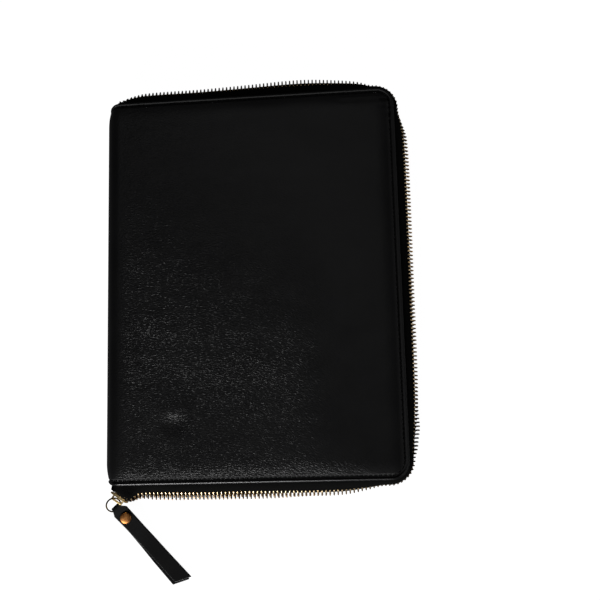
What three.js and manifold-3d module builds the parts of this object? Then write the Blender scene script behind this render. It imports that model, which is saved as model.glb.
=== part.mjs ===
// Zip-around tablet sleeve in black leather, unzipped and lying on its back cover.
// Millimetres. +X runs from the spine to the long open side, +Y to the head, +Z up from the table.
import * as THREE from "three";
import { mergeVertices } from "three/addons/utils/BufferGeometryUtils.js";
import Module from "manifold-3d";

const wasm = await Module();
wasm.setup();

// Leather cover
const cover = {
  spineX: -98.2,
  openX: 95.7,
  spineHalf: 128.1,
  openHalf: 129.7,
  spineThick: 20,
  openThick: 26,
  wall: 3,
  corner: 12,
  crown: 0.8,
  spineEndRecess: 2.6,
  spineSteps: 8,
  panelShares: [0.78, 0.5, 0.22],
  rowShares: [-0.5, 0, 0.5],
};

// Section of the padded cover across its stitched hem, from the turned edge inwards
const hem = [
  { inset: 0, sink: 1.9 },
  { inset: 0.7, sink: 1.25 },
  { inset: 1.7, sink: 1.15 },
  { inset: 2.6, sink: 1.65 },
  { inset: 3.6, sink: 1 },
  { inset: 6.5, sink: 0.35 },
  { inset: 12, sink: 0 },
];

// Zip
const tape = {
  fromX: -94,
  thick: 0.8,
  seat: 0.3,
  tuck: 5,
  stationGap: 40,
  stationMin: 0.8,
  cornerSteps: 5,
  twistDeg: 14,
};
const tooth = {
  pitch: 2.55,
  gap: 0.35,
  bead: 0.8,
  reach: 2.7,
  baseHalf: 1.05,
  tipHalf: 0.85,
  tipFrom: 0.26,
  tipTo: 0.74,
  bendDeg: 10,
  endClear: 0.4,
};

// Slider, its axis turned towards the foot corner of the spine
const slider = {
  x: -89.1,
  y: -133.6,
  z: 10.1,
  turnDeg: -35,
  half: 6,
  plate: 0.9,
  channel: 3,
  slot: 1.6,
  tailHalf: 4.2,
  mouthHalf: 5.6,
  waist: 0.15,
  endCut: 1.6,
  lip: 0.7,
  kneeClear: 0.8,
  bridgeHalf: 4,
  bridgeLeg: 1,
  bridgeClear: 2.1,
  bridgeBand: 1.2,
  bridgeWide: 1.5,
  bridgeInside: 0.5,
  bridgeRound: 0.8,
  rooted: 0.2,
};

// Divider between the two tapes at the slider's mouth
const divider = [
  { along: 1.6, half: 0 },
  { along: 4.2, half: 0.95 },
  { along: 5.5, half: 0.7 },
];

// Pull
const ring = { radius: 4.6, wire: 0.42, leanDeg: 32, holeDeg: 10, standOff: 3.4, section: 6, around: 20 };
const strap = {
  rivetX: -86.9,
  rivetY: -148.2,
  rivetAt: 7.7,
  turnDeg: -48.1,
  ply: 1.2,
  span: 7,
  neckLeft: 2.7,
  neckRight: 2.7,
  neckTo: -0.5,
  endSlant: 4.2,
  endCorner: 1.6,
  endCut: 0.4,
};
const rivet = {
  capRadius: 3.6,
  capHigh: 1.3,
  backRadius: 2.7,
  backHigh: 0.9,
  shank: 1.2,
  seat: 0.2,
  stand: 0.45,
  around: 14,
};

const deg = Math.PI / 180;
const spineRadius = cover.spineThick / 2;
const spineX = cover.spineX + spineRadius;
const frontTilt = Math.atan2(cover.openThick - cover.spineThick, cover.openX - spineX);

function lerp(a, b, t) {
  return a + (b - a) * t;
}

function lookUp(rows, key, at, value) {
  if (at <= rows[0][key]) return rows[0][value];
  for (let i = 1; i < rows.length; i += 1) {
    if (at <= rows[i][key]) {
      const t = (at - rows[i - 1][key]) / (rows[i][key] - rows[i - 1][key]);
      return lerp(rows[i - 1][value], rows[i][value], t);
    }
  }
  return rows[rows.length - 1][value];
}

function halfHeight(x) {
  return lerp(cover.spineHalf, cover.openHalf, (x - cover.spineX) / (cover.openX - cover.spineX));
}

function frontHeight(x) {
  return cover.spineThick + (x - spineX) * Math.tan(frontTilt);
}

function solidFrom(positions, indices) {
  const geometry = new THREE.BufferGeometry();
  geometry.setAttribute("position", new THREE.Float32BufferAttribute(positions, 3));
  let volume = 0;
  const corner = (i) => new THREE.Vector3().fromArray(positions, 3 * i);
  for (let i = 0; i < indices.length; i += 3) {
    volume += corner(indices[i]).dot(corner(indices[i + 1]).cross(corner(indices[i + 2])));
  }
  geometry.setIndex(volume < 0 ? [...indices].reverse() : indices);
  return geometry;
}

// A sheet with thickness: two grids of points with their four borders closed.
function thickSheet(upper, lower) {
  const rows = upper.length;
  const cols = upper[0].length;
  const positions = [];
  for (const grid of [upper, lower]) {
    for (const row of grid) {
      for (const p of row) positions.push(p.x, p.y, p.z);
    }
  }
  const up = (i, j) => i * cols + j;
  const low = (i, j) => rows * cols + up(i, j);
  const indices = [];
  const quad = (a, b, c, d) => indices.push(a, b, c, a, c, d);
  for (let i = 0; i + 1 < rows; i += 1) {
    for (let j = 0; j + 1 < cols; j += 1) {
      quad(up(i, j), up(i, j + 1), up(i + 1, j + 1), up(i + 1, j));
      quad(low(i, j), low(i + 1, j), low(i + 1, j + 1), low(i, j + 1));
    }
  }
  for (let i = 0; i + 1 < rows; i += 1) {
    quad(up(i, 0), up(i + 1, 0), low(i + 1, 0), low(i, 0));
    quad(up(i + 1, cols - 1), up(i, cols - 1), low(i, cols - 1), low(i + 1, cols - 1));
  }
  for (let j = 0; j + 1 < cols; j += 1) {
    quad(up(0, j + 1), up(0, j), low(0, j), low(0, j + 1));
    quad(up(rows - 1, j), up(rows - 1, j + 1), low(rows - 1, j + 1), low(rows - 1, j));
  }
  return solidFrom(positions, indices);
}

// Columns of the cover, from the front's open edge round the spine to the back's open edge.
function coverColumns() {
  const columns = [];
  const panelX = (share) => lerp(spineX, cover.openX - cover.corner, share);
  const frontTurn = Math.PI / 2 + frontTilt;
  const backTurn = -Math.PI / 2;
  const add = (x, z, turn, inset, side) => columns.push({ x, z, turn, inset, side, recess: 0 });
  const front = (x, inset) => add(x, frontHeight(x), frontTurn, inset, 1);
  const back = (x, inset) => add(x, 0, backTurn, inset, -1);
  for (const h of hem) front(cover.openX - h.inset, h.inset);
  for (const share of cover.panelShares) front(panelX(share), Infinity);
  for (let i = 0; i <= cover.spineSteps; i += 1) {
    const turn = lerp(Math.PI / 2, (3 * Math.PI) / 2, i / cover.spineSteps);
    const x = spineX + spineRadius * Math.cos(turn);
    const z = spineRadius + spineRadius * Math.sin(turn);
    const recess = cover.spineEndRecess * (1 - Math.abs(Math.sin(turn))) ** 1.5;
    columns.push({ x, z, turn, inset: Infinity, recess, side: 0 });
  }
  for (const share of [...cover.panelShares].reverse()) back(panelX(share), Infinity);
  for (const h of [...hem].reverse()) back(cover.openX - h.inset, h.inset);
  return columns;
}

function coverRows() {
  const rows = hem.map((h) => ({ side: -1, inset: h.inset }));
  for (const share of cover.rowShares) rows.push({ share, inset: Infinity });
  return rows.concat([...hem].reverse().map((h) => ({ side: 1, inset: h.inset })));
}

// Plan position of a cover point; the two open corners are rounded in rings of equal inset.
function coverPlan(column, row) {
  const half = halfHeight(column.x) - column.recess;
  const r = cover.corner;
  if (row.share !== undefined) return { x: column.x, y: row.share * (half - r) };
  if (column.inset >= r || row.inset >= r) return { x: column.x, y: row.side * (half - row.inset) };
  const a = r - column.inset;
  const b = r - row.inset;
  const radius = Math.max(a, b);
  const angle = a >= b ? (Math.PI / 4) * (b / a) : Math.PI / 2 - (Math.PI / 4) * (a / b);
  const centreY = halfHeight(cover.openX) - r;
  return {
    x: cover.openX - r + radius * Math.cos(angle),
    y: row.side * (centreY + radius * Math.sin(angle)),
  };
}

function shellGeometry() {
  const rows = coverRows();
  const outer = [];
  const inner = [];
  for (const column of coverColumns()) {
    const nx = Math.cos(column.turn);
    const nz = Math.sin(column.turn);
    const at = (row, out) => {
      const plan = coverPlan(column, row);
      const z = column.side === 1 ? frontHeight(plan.x) : column.z;
      return new THREE.Vector3(plan.x + nx * out, plan.y, z + nz * out);
    };
    const lift = (row) => {
      const sink = lookUp(hem, "inset", Math.min(column.inset, row.inset), "sink");
      const u = (column.x - spineX) / (cover.openX - spineX);
      const middle = column.side === 1 && row.share !== undefined && column.inset === Infinity;
      return (middle ? cover.crown * 4 * u * (1 - u) * (1 - row.share ** 2) : 0) - sink;
    };
    outer.push(rows.map((row) => at(row, lift(row))));
    inner.push(rows.map((row) => at(row, -cover.wall)));
  }
  return thickSheet(outer, inner);
}

// How each tape leaves its cover, station by station round head, open side and foot.
// lead and slope: length and angle from the cover edge to the knee.
// fall and droop: length and angle from the knee to the teeth.
const frontLie = [
  { edge: "head", at: -91, lead: 2.2, slope: 40, fall: 1.1, droop: 80 },
  { edge: "head", at: -86, lead: 2.8, slope: 30, fall: 2.9, droop: 60 },
  { edge: "head", at: -79, lead: 3, slope: 24, fall: 4.6, droop: 48 },
  { edge: "head", at: -69, lead: 3, slope: 19, fall: 4.6, droop: 40 },
  { edge: "head", at: -35, lead: 3, slope: 18, fall: 4.5, droop: 37 },
  { edge: "head", at: 0, lead: 3, slope: 15, fall: 5.1, droop: 30 },
  { edge: "head", at: 33, lead: 3, slope: 10, fall: 5.1, droop: 20 },
  { edge: "head", at: 60, lead: 3, slope: 18, fall: 5.1, droop: 37 },
  { edge: "head", at: 73, lead: 3, slope: 25, fall: 4.9, droop: 50 },
  { edge: "head", at: 83, lead: 3, slope: 35, fall: 4.5, droop: 72 },
  { edge: "side", at: 117, lead: 3, slope: 46, fall: 4.2, droop: 90 },
  { edge: "side", at: 106, lead: 3, slope: 34, fall: 4.6, droop: 68 },
  { edge: "side", at: 95, lead: 3, slope: 22, fall: 4.4, droop: 46 },
  { edge: "side", at: 67, lead: 3, slope: 19, fall: 4.3, droop: 39 },
  { edge: "side", at: 30, lead: 3, slope: 20, fall: 4.3, droop: 41 },
  { edge: "side", at: -10, lead: 3, slope: 22, fall: 4.3, droop: 45 },
  { edge: "side", at: -45, lead: 3, slope: 23, fall: 4.3, droop: 47 },
  { edge: "side", at: -78, lead: 3, slope: 27, fall: 4.4, droop: 54 },
  { edge: "side", at: -98, lead: 3, slope: 36, fall: 4.6, droop: 73 },
  { edge: "side", at: -112, lead: 3, slope: 45, fall: 4.2, droop: 90 },
  { edge: "foot", at: 82, lead: 3, slope: 46, fall: 4.2, droop: 92 },
  { edge: "foot", at: 69, lead: 3, slope: 36, fall: 4.6, droop: 72 },
  { edge: "foot", at: 53, lead: 3, slope: 28, fall: 5, droop: 50 },
  { edge: "foot", at: 28, lead: 3, slope: 25, fall: 5, droop: 46 },
  { edge: "foot", at: -6, lead: 3, slope: 21, fall: 4.3, droop: 45 },
  { edge: "foot", at: -33, lead: 3, slope: 19, fall: 4.3, droop: 41 },
  { edge: "foot", at: -60, lead: 3, slope: 20, fall: 3.8, droop: 45 },
  { edge: "foot", at: -70, lead: 3.2, slope: 22, fall: 3.6, droop: 50 },
  { edge: "foot", at: -77, lead: 4.3, slope: 14, fall: 2.7, droop: 54 },
];
const backLie = [
  { edge: "head", at: -91, lead: 2.2, slope: 40, fall: 0.8, droop: 80 },
  { edge: "head", at: -86, lead: 2.8, slope: 24, fall: 2, droop: 50 },
  { edge: "head", at: -77, lead: 3, slope: 14, fall: 2.2, droop: 30 },
  { edge: "head", at: -66, lead: 3, slope: 8, fall: 1.6, droop: 15 },
  { edge: "head", at: 42, lead: 3, slope: 6, fall: 1.5, droop: 11 },
  { edge: "head", at: 55, lead: 3, slope: 8, fall: 1.6, droop: 15 },
  { edge: "head", at: 68, lead: 3, slope: 16, fall: 2, droop: 34 },
  { edge: "head", at: 83, lead: 3, slope: 34, fall: 2.4, droop: 70 },
  { edge: "side", at: 117, lead: 3, slope: 46, fall: 2.4, droop: 90 },
  { edge: "side", at: 104, lead: 3, slope: 22, fall: 2.1, droop: 45 },
  { edge: "side", at: 88, lead: 3, slope: 9, fall: 1.7, droop: 18 },
  { edge: "side", at: 78, lead: 3, slope: 6, fall: 1.4, droop: 11 },
  { edge: "side", at: -86, lead: 3, slope: 6, fall: 2.2, droop: 11 },
  { edge: "side", at: -96, lead: 3, slope: 9, fall: 2.7, droop: 18 },
  { edge: "side", at: -105, lead: 3, slope: 16, fall: 1.8, droop: 34 },
  { edge: "side", at: -110, lead: 3, slope: 26, fall: 2.2, droop: 53 },
  { edge: "side", at: -115, lead: 3, slope: 36, fall: 2.4, droop: 73 },
  { edge: "foot", at: 83, lead: 3, slope: 46, fall: 2.4, droop: 92 },
  { edge: "foot", at: 68, lead: 3, slope: 32, fall: 2.2, droop: 64 },
  { edge: "foot", at: 50, lead: 3, slope: 17, fall: 2.2, droop: 34 },
  { edge: "foot", at: 25, lead: 3, slope: 8, fall: 2.9, droop: 15 },
  { edge: "foot", at: 10, lead: 3, slope: 6, fall: 3.6, droop: 10 },
  { edge: "foot", at: -52, lead: 3, slope: 6, fall: 3.6, droop: 10 },
  { edge: "foot", at: -67, lead: 3.1, slope: 9, fall: 3.2, droop: 20 },
  { edge: "foot", at: -77, lead: 4.3, slope: 10, fall: 2.1, droop: 44 },
];

// Where the closed chain runs through the slider: half the gap between the two tooth rows.
const chain = [
  { along: -3.6, halfGap: 0.15 },
  { along: -1, halfGap: 0.15 },
  { along: 3, halfGap: 1.3 },
  { along: 6.6, halfGap: 1.6 },
];

function sliderHalf(along) {
  const share = THREE.MathUtils.smoothstep(along, -slider.half, slider.half);
  return lerp(slider.tailHalf, slider.mouthHalf, share);
}

// Height of a tape under its cover; near the spine it follows the rounded inside.
function tapeLevel(side, x) {
  const clear = tape.seat + tape.thick / 2;
  const radius = spineRadius - cover.wall - clear;
  const into = Math.max(0, spineX - x);
  const round = radius - Math.sqrt(Math.max(0, radius ** 2 - into ** 2));
  const flat = side > 0 ? frontHeight(Math.max(x, spineX)) - cover.wall - clear : cover.wall + clear;
  return flat - side * round;
}

// Rows that lead the tape upright through the slider, worked out from where the slider sits.
function sliderLie(side) {
  const turn = slider.turnDeg * deg;
  return [...chain].reverse().map((c) => {
    const x = slider.x + c.along * Math.cos(turn);
    const y = slider.y + c.along * Math.sin(turn);
    const out = -halfHeight(x) - y;
    const knee = sliderHalf(c.along) + slider.kneeClear;
    const rise = Math.abs(tapeLevel(side, x) - slider.z) - knee;
    const fall = knee - c.halfGap - tooth.gap - tooth.reach;
    const slope = Math.atan2(rise, out) / deg;
    return { edge: "foot", at: x, lead: Math.hypot(out, rise), slope, fall, droop: 90 };
  });
}

// The cover's edge as one run: head, corner, open side, corner, foot.
function edgeRun() {
  const r = cover.corner;
  const cx = cover.openX - r;
  const cy = halfHeight(cover.openX) - r;
  const arc = (r * Math.PI) / 2;
  const lengths = { head: cx - tape.fromX, side: 2 * cy };
  const at = (edge, value) => {
    if (edge === "head") return value - tape.fromX;
    if (edge === "side") return lengths.head + arc + cy - value;
    return lengths.head + 2 * arc + lengths.side + cx - value;
  };
  const point = (s) => {
    let rest = s;
    if (rest <= lengths.head) return { x: tape.fromX + rest, y: halfHeight(tape.fromX + rest), nx: 0, ny: 1 };
    rest -= lengths.head;
    if (rest < arc) {
      const a = Math.PI / 2 - rest / r;
      return { x: cx + r * Math.cos(a), y: cy + r * Math.sin(a), nx: Math.cos(a), ny: Math.sin(a) };
    }
    rest -= arc;
    if (rest <= lengths.side) return { x: cover.openX, y: cy - rest, nx: 1, ny: 0 };
    rest -= lengths.side;
    if (rest < arc) {
      const a = -rest / r;
      return { x: cx + r * Math.cos(a), y: -cy + r * Math.sin(a), nx: Math.cos(a), ny: Math.sin(a) };
    }
    const x = cx - (rest - arc);
    return { x, y: -halfHeight(x), nx: 0, ny: -1 };
  };
  const corners = [lengths.head, lengths.head + arc + lengths.side].flatMap((from) => {
    const steps = [];
    for (let i = 0; i <= tape.cornerSteps; i += 1) steps.push(from + (arc * i) / tape.cornerSteps);
    return steps;
  });
  return { at, point, corners };
}

// Stations of one tape: seam point, knee and tooth edge, with the direction the teeth point in.
function tapeStations(side, lie) {
  const run = edgeRun();
  const rows = lie.concat(sliderLie(side));
  const places = rows.map((row) => run.at(row.edge, row.at));
  const values = rows.flatMap((row) => [row.lead, row.slope, row.fall, row.droop]);
  const smooth = new THREE.CubicInterpolant(places, values, 4, new Float32Array(4));
  const droopAt = (s) => smooth.evaluate(s)[3];
  const stops = [places[0]];
  for (const s of [...places, ...run.corners].sort((a, b) => a - b)) {
    const last = stops[stops.length - 1];
    if (s - last > tape.stationMin) {
      const twist = Math.abs(droopAt(s) - droopAt(last));
      const parts = Math.ceil(Math.max((s - last) / tape.stationGap, twist / tape.twistDeg));
      for (let k = 1; k <= parts; k += 1) stops.push(lerp(last, s, k / parts));
    }
  }
  return stops.map((s) => {
    const p = run.point(s);
    const out = new THREE.Vector3(p.nx, p.ny, 0);
    const [lead, slope, fall, droop] = smooth.evaluate(s);
    const heading = (angle) => {
      const turn = angle * deg;
      return out.clone().multiplyScalar(Math.cos(turn)).setZ(-side * Math.sin(turn));
    };
    const seam = new THREE.Vector3(p.x, p.y, tapeLevel(side, p.x));
    const tuckX = p.x - p.nx * tape.tuck;
    const tuck = new THREE.Vector3(tuckX, p.y - p.ny * tape.tuck, tapeLevel(side, tuckX));
    const knee = seam.clone().addScaledVector(heading(slope), lead);
    const edge = knee.clone().addScaledVector(heading(droop), fall);
    return { line: [tuck, seam, knee, edge], angles: [0, slope, droop], out, heading: heading(droop) };
  });
}

function tapeGeometry(side, stations) {
  const faces = [1, -1].map((face) =>
    stations.map(({ line, angles, out }) =>
      line.map((p, i) => {
        const before = angles[Math.max(0, i - 1)] * deg;
        const after = angles[Math.min(angles.length - 1, i)] * deg;
        const mean = (before + after) / 2;
        const size = ((face * tape.thick) / 2) / Math.cos((after - before) / 2);
        const normal = out.clone().multiplyScalar(Math.sin(mean)).setZ(side * Math.cos(mean));
        return p.clone().addScaledVector(normal, size);
      }),
    ),
  );
  return thickSheet(faces[0], faces[1]);
}

// One tooth row: a bead with flat-topped teeth, at an even pitch along the tape's edge.
function teethGeometry(stations) {
  const lengths = [0];
  for (let i = 1; i < stations.length; i += 1) {
    lengths.push(lengths[i - 1] + stations[i].line[3].distanceTo(stations[i - 1].line[3]));
  }
  const total = lengths[lengths.length - 1];
  const frameAt = (s) => {
    let i = 1;
    while (i < lengths.length - 1 && lengths[i] < s) i += 1;
    const t = (s - lengths[i - 1]) / (lengths[i] - lengths[i - 1]);
    const from = stations[i - 1];
    const to = stations[i];
    const origin = from.line[3].clone().lerp(to.line[3], t);
    const ahead = to.line[3].clone().sub(from.line[3]).normalize();
    const reach = from.heading.clone().lerp(to.heading, t).normalize();
    return { origin, reach, thick: new THREE.Vector3().crossVectors(ahead, reach).normalize() };
  };
  const positions = [];
  const place = (s, out, half) => {
    const f = frameAt(Math.min(Math.max(s, 0), total));
    for (const face of [1, -1]) {
      const p = f.origin.clone().addScaledVector(f.reach, out).addScaledVector(f.thick, face * half);
      positions.push(p.x, p.y, p.z);
    }
    return positions.length / 3 - 2;
  };
  const count = Math.floor((total - tooth.endClear) / tooth.pitch);
  const base = (k) => place(k * tooth.pitch, tooth.gap, tooth.baseHalf);
  const valley = (k) => place(k * tooth.pitch, tooth.gap + tooth.bead, tooth.baseHalf);
  const tip = (k) => place(k * tooth.pitch, tooth.gap + tooth.reach, tooth.tipHalf);
  const indices = [];
  const faceBoth = (a, b, c) => indices.push(a, b, c, a + 1, c + 1, b + 1);
  const side = (a, b) => indices.push(a, a + 1, b + 1, a, b + 1, b);
  const facing = (k) => frameAt(k * tooth.pitch).thick;
  const bends = (k) => facing(k).angleTo(facing(k + 2)) > tooth.bendDeg * deg;
  let root = base(0);
  let dip = valley(0);
  side(root, dip);
  for (let k = 0; k < count; ) {
    const group = k + 1 < count && !bends(k) ? 2 : 1;
    const nextRoot = base(k + group);
    for (let n = 0; n < group; n += 1) {
      const tips = [tip(k + n + tooth.tipFrom), tip(k + n + tooth.tipTo)];
      const nextDip = valley(k + n + 1);
      faceBoth(n === 0 ? root : nextRoot, dip, nextDip);
      if (n === 0) faceBoth(root, nextDip, nextRoot);
      faceBoth(dip, tips[0], tips[1]);
      faceBoth(dip, tips[1], nextDip);
      side(dip, tips[0]);
      side(tips[0], tips[1]);
      side(tips[1], nextDip);
      dip = nextDip;
    }
    side(nextRoot, root);
    root = nextRoot;
    k += group;
  }
  side(dip, root);
  return solidFrom(positions, indices);
}

function toManifold(geometry) {
  const bare = new THREE.BufferGeometry();
  bare.setAttribute("position", geometry.getAttribute("position"));
  bare.setIndex(geometry.getIndex());
  const welded = mergeVertices(bare, 1e-4);
  return new wasm.Manifold(
    new wasm.Mesh({
      numProp: 3,
      vertProperties: Float32Array.from(welded.getAttribute("position").array),
      triVerts: Uint32Array.from(welded.getIndex().array),
    }),
  );
}

function fromManifold(manifold) {
  const mesh = manifold.getMesh();
  const geometry = new THREE.BufferGeometry();
  geometry.setAttribute("position", new THREE.Float32BufferAttribute(mesh.vertProperties, 3));
  geometry.setIndex(Array.from(mesh.triVerts));
  return geometry;
}

function prism(points, from, to) {
  const shape = new THREE.Shape(points.map(([x, y]) => new THREE.Vector2(x, y)));
  const geometry = new THREE.ExtrudeGeometry(shape, { depth: to - from, bevelEnabled: false });
  return geometry.translate(0, 0, from);
}

// Slider in its own frame: x along the chain towards the mouth, y across the tapes, z out of the outer plate.
function sliderGeometry() {
  const { half, plate, channel, slot, lip } = slider;
  const deep = channel / 2 + plate;
  const outline = (grow, over) => {
    const tail = slider.tailHalf + grow;
    const mouth = slider.mouthHalf + grow;
    const end = half + over;
    const cut = over > 0 ? 0 : slider.endCut;
    const upper = [
      [-end, tail - cut],
      [-end + cut, tail],
      [0, (tail + mouth) / 2 + slider.waist],
      [end - cut, mouth],
      [end, mouth - cut],
    ];
    return upper.concat([...upper].reverse().map(([x, y]) => [x, -y])).reverse();
  };
  const open = 4 * half;
  let body = toManifold(prism(outline(0, 0), -deep, deep));
  body = body.subtract(toManifold(prism(outline(-lip, 1), -channel / 2, channel / 2)));
  body = body.subtract(toManifold(new THREE.BoxGeometry(open, open, slot)));
  const post = divider.map((d) => [d.along, -d.half]);
  post.push(...[...divider].reverse().map((d) => [d.along, d.half]));
  const postEnd = channel / 2 + slider.rooted;
  body = body.add(toManifold(prism(post, -postEnd, postEnd)));
  const clear = deep + slider.bridgeClear;
  const top = clear + slider.bridgeBand;
  const foot = deep - slider.rooted;
  const leg = slider.bridgeHalf - slider.bridgeLeg;
  const inside = slider.bridgeInside;
  const round = slider.bridgeRound;
  const halfArch = [
    [leg - inside, clear],
    [leg, clear - inside],
    [leg, foot],
    [slider.bridgeHalf, foot],
    [slider.bridgeHalf, top - round],
    [slider.bridgeHalf - round, top],
  ];
  const arch = halfArch.concat([...halfArch].reverse().map(([x, y]) => [-x, y]));
  const bridge = prism(arch, -slider.bridgeWide / 2, slider.bridgeWide / 2).rotateX(Math.PI / 2);
  return fromManifold(body.add(toManifold(bridge)));
}

// Axes of the slider: along the chain, up, and out of the sleeve.
const sliderAlong = new THREE.Vector3(Math.cos(slider.turnDeg * deg), Math.sin(slider.turnDeg * deg), 0);
const sliderUp = new THREE.Vector3(0, 0, 1);
const sliderOut = new THREE.Vector3().crossVectors(sliderAlong, sliderUp);
const sliderCentre = new THREE.Vector3(slider.x, slider.y, slider.z);

function sliderPlaced() {
  const place = new THREE.Matrix4().makeBasis(sliderAlong, sliderUp, sliderOut).setPosition(sliderCentre);
  return sliderGeometry().applyMatrix4(place);
}

// The ring passes through the bridge and leans down along the strap, level across it.
function ringGeometry() {
  const { along, across } = strapFrame();
  const lean = ring.leanDeg * deg;
  const level = across.clone().negate();
  const steep = sliderUp.clone().multiplyScalar(Math.sin(lean)).addScaledVector(along, -Math.cos(lean));
  const hole = sliderCentre.clone().addScaledVector(sliderOut, ring.standOff);
  const turn = ring.holeDeg * deg;
  const centre = hole
    .addScaledVector(level, ring.radius * Math.cos(turn))
    .addScaledVector(steep, -ring.radius * Math.sin(turn));
  const facing = new THREE.Vector3().crossVectors(level, steep);
  const place = new THREE.Matrix4().makeBasis(level, steep, facing).setPosition(centre);
  const torus = new THREE.TorusGeometry(ring.radius, ring.wire, ring.section, ring.around);
  return mergeVertices(stripped(torus), 1e-3).applyMatrix4(place);
}

function stripped(geometry) {
  const bare = new THREE.BufferGeometry();
  bare.setAttribute("position", geometry.getAttribute("position"));
  bare.setIndex(geometry.getIndex());
  return bare;
}

// Middle line of the folded strip from the end of the lower ply round the ring to the end of the upper ply.
const strapLower = [
  { along: 63.6, high: 0.6 },
  { along: 34, high: 0.6 },
  { along: 24, high: 1.5 },
  { along: 14, high: 3.4 },
  { along: 4, high: 5.5 },
  { along: 1.5, high: 5.95 },
];
const strapLoop = { along: 0.15, high: 7.5, halfLong: 2.2, halfHigh: 1.5, tiltDeg: 32, steps: 8 };
// Half widths: the lower ply fans out past the upper one on the left.
const strapEdges = [
  { along: 2.6, left: 4.7, leftUpper: 4.7, right: 5.4 },
  { along: 16, left: 4.8, leftUpper: 4.5, right: 5.2 },
  { along: 40, left: 6.1, leftUpper: 4.4, right: 5.2 },
  { along: 63.6, left: 6.5, leftUpper: 4.3, right: 5.7 },
];
const strapUpper = [
  { along: 2.6, high: 7.85 },
  { along: 4.4, high: 6.9 },
  { along: 14, high: 4.9 },
  { along: 24, high: 2.95 },
  { along: 34, high: 2.05 },
  { along: 61.8, high: 2.05 },
];

function strapFrame() {
  const along = new THREE.Vector3(Math.cos(strap.turnDeg * deg), Math.sin(strap.turnDeg * deg), 0);
  const across = new THREE.Vector3(-along.y, along.x, 0);
  const origin = new THREE.Vector3(strap.rivetX, strap.rivetY, 0).addScaledVector(along, -strap.rivetAt);
  return { along, across, origin };
}

// In the strap's own frame x runs along it, y up and z across it.
function strapGeometry() {
  const line = strapLower.map((p) => new THREE.Vector2(p.along, p.high));
  const loopMiddle = new THREE.Vector2(strapLoop.along, strapLoop.high);
  for (let i = 0; i <= strapLoop.steps; i += 1) {
    const turn = lerp(-Math.PI / 2, -1.5 * Math.PI, i / strapLoop.steps);
    const round = new THREE.Vector2(strapLoop.halfLong * Math.cos(turn), strapLoop.halfHigh * Math.sin(turn));
    line.push(round.add(loopMiddle).rotateAround(loopMiddle, -strapLoop.tiltDeg * deg));
  }
  strapUpper.forEach((p) => line.push(new THREE.Vector2(p.along, p.high)));
  const offset = (p, i, size) => {
    const before = i > 0 ? line[i - 1] : p.clone().multiplyScalar(2).sub(line[1]);
    const after = i + 1 < line.length ? line[i + 1] : p.clone().multiplyScalar(2).sub(line[i - 1]);
    const into = p.clone().sub(before).normalize();
    const way = after.clone().sub(p).normalize().add(into).normalize();
    const stretch = way.dot(into);
    return [p.x - (way.y * size) / stretch, p.y + (way.x * size) / stretch];
  };
  const out = line.map((p, i) => offset(p, i, strap.ply / 2));
  const inside = line.map((p, i) => offset(p, i, -strap.ply / 2)).reverse();
  const { span } = strap;
  const strip = toManifold(prism(out.concat(inside), -span, span));
  const last = strapEdges[strapEdges.length - 1];
  const leftEdge = strapEdges.slice(0, -1).map((row) => [row.along, -row.left]);
  const rightEdge = strapEdges.slice(0, -1).map((row) => [row.along, row.right]).reverse();
  const plan = [
    [-span, -strap.neckLeft],
    [strap.neckTo, -strap.neckLeft],
    ...leftEdge,
    [last.along - strap.endSlant, -last.left],
    [last.along, last.right - strap.endCorner],
    [last.along - strap.endCut, last.right],
    ...rightEdge,
    [strap.neckTo, strap.neckRight],
    [-span, strap.neckRight],
  ];
  const fromAbove = (points) => toManifold(prism(points, -span, 3 * span).rotateX(-Math.PI / 2));
  const bore = rivet.shank + rivet.seat;
  const hole = new THREE.CylinderGeometry(bore, bore, span, rivet.around);
  hole.rotateZ(strapTilt()).translate(strap.rivetAt, slitHigh(strap.rivetAt), 0);
  const far = last.along + span;
  const upperEdge = strapEdges.map((row) => [row.along, -row.leftUpper]).reverse();
  const beside = [[strapEdges[0].along, -2 * span], [far, -2 * span], [far, -last.leftUpper], ...upperEdge];
  const slit = strapUpper.slice(1).map((row) => [row.along, slitHigh(row.along)]);
  const over = [...slit, [far, slitHigh(last.along)], [far, 2 * span], [slit[0][0], 2 * span]];
  const spare = fromAbove(beside).intersect(toManifold(prism(over, -2 * span, 2 * span)));
  const cut = strip.intersect(fromAbove(plan)).subtract(toManifold(hole)).subtract(spare);
  return strapPlace(fromManifold(cut));
}

function strapTilt() {
  const a = strapLower[3];
  const b = strapLower[4];
  return Math.atan2(a.high - b.high, a.along - b.along);
}

// Height of the slit between the plies.
function slitHigh(along) {
  const low = lookUp([...strapLower].reverse(), "along", along, "high");
  const high = lookUp(strapUpper, "along", along, "high");
  return (low + high) / 2;
}

function strapPlace(geometry) {
  const { along, across, origin } = strapFrame();
  const up = new THREE.Vector3(0, 0, 1);
  const side = across.clone().negate();
  return geometry.applyMatrix4(new THREE.Matrix4().makeBasis(along, up, side).setPosition(origin));
}

// Shares of radius and height round the rivet's two caps.
const rivetBack = [
  { share: 0, high: 1 },
  { share: 0.8, high: 1 },
  { share: 1, high: 0.5 },
  { share: 1, high: 0 },
];
const rivetCap = [
  { share: 1, high: 0 },
  { share: 1, high: 0.3 },
  { share: 0.85, high: 0.68 },
  { share: 0.5, high: 0.94 },
  { share: 0, high: 1 },
];

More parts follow.
